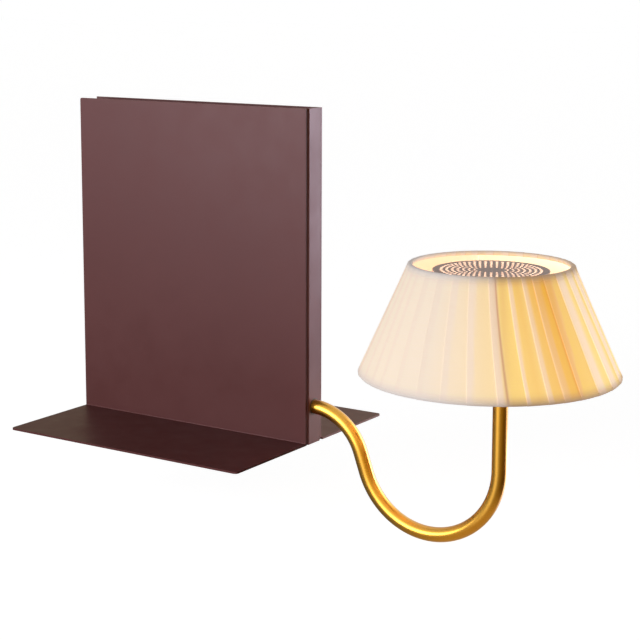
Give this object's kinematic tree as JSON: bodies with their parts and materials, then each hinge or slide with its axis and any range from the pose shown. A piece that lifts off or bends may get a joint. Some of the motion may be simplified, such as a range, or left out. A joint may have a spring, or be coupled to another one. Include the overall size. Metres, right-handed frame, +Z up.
{
  "type": "bookshelf wall light",
  "caption": "Book-shaped steel bookend light: a curved tube leaves the spine, dips below the shelf in a U and carries a pleated fabric cone shade over an LED head.",
  "frame": {"origin": "centre of the underside, on the middle non-slip pad, where the light rests on the shelf", "axes": "+Z up; -Y out of the spine towards the room, +Y to the rear where the cable enters; +X to the right seen from the spine"},
  "size_m": [0.1952, 0.4505, 0.3076],
  "materials": {
    "body_paint": "satin powder coat",
    "gold_tube": "satin gold",
    "inner_steel": "zinc plated",
    "bearing_metal": "machined",
    "black_plastic": "matt",
    "pad_rubber": "matt",
    "driver_shell": "matt",
    "circuit_board": "solder mask",
    "terminal_plastic": "gloss",
    "lead_sheath": "smooth",
    "head_paint": "satin powder coat",
    "board_white": "solder mask",
    "led_phosphor": "phosphor",
    "opal": "frosted",
    "ring_wire": "white enamel",
    "shade_backing": "translucent film",
    "shade_cloth": "pleated cotton",
    "trim_cloth": "woven tape"
  },
  "bodies": {
    "stand": {"left_plate": "body_paint", "right_shell": "body_paint", "closing_strip": "body_paint", "front_channel": "inner_steel", "rear_channel": "inner_steel", "strip_screws": "inner_steel", "block_studs": "inner_steel", "block_nuts": "inner_steel", "driver_studs": "inner_steel", "driver_nuts": "inner_steel", "stop_pin": "inner_steel", "friction_washer": "inner_steel", "terminal_screws": "inner_steel", "bearing_block": "bearing_metal", "front_bush": "black_plastic", "rear_bush": "black_plastic", "cable_inlet": "black_plastic", "inlet_nut": "black_plastic", "grip_pads": "pad_rubber", "driver_case": "driver_shell", "driver_lid": "driver_shell", "driver_board": "circuit_board", "terminal_block": "terminal_plastic", "lead_socket": "terminal_plastic", "driver_lead": "lead_sheath", "mains_link": "lead_sheath"},
    "arm": {"stop_collar": "inner_steel", "collar_screw": "inner_steel", "arm_tube": "gold_tube", "tube_grommet": "black_plastic", "arm_wire": "lead_sheath", "arm_plug": "terminal_plastic", "head_cup": "head_paint", "stem_collar": "gold_tube", "tube_nut": "gold_tube", "heat_spreader": "bearing_metal", "led_board": "board_white", "led_chips": "led_phosphor", "board_screws": "inner_steel", "opal_dome": "opal", "dimmer_board": "circuit_board", "board_spacers": "bearing_metal", "dimmer_switch": "black_plastic"},
    "shade": {"shade_spider": "head_paint", "disc_posts": "head_paint", "grille_disc": "head_paint", "top_ring": "ring_wire", "bottom_ring": "ring_wire", "shade_ribs": "ring_wire", "shade_lining": "shade_backing", "shade_fabric": "shade_cloth", "top_trim": "trim_cloth", "bottom_trim": "trim_cloth"},
    "button": {"button_cap": "head_paint"}
  },
  "joints": [
    {"name": "arm_swivel", "type": "hinge", "parent": "stand", "child": "arm", "pos_m": [0.0015, -0.107, 0.02875], "axis": [0, 1, 0], "range_deg": [-45, 45]},
    {"name": "shade_lift", "type": "slide", "parent": "arm", "child": "shade", "axis": [0, 0, 1], "range_m": [0, 0.06]},
    {"name": "dimmer_press", "type": "slide", "parent": "arm", "child": "button", "axis": [0, 0, 1], "range_m": [0, 0.0012], "stiffness_N_per_m": 600, "springref_m": -0.001}
  ]
}
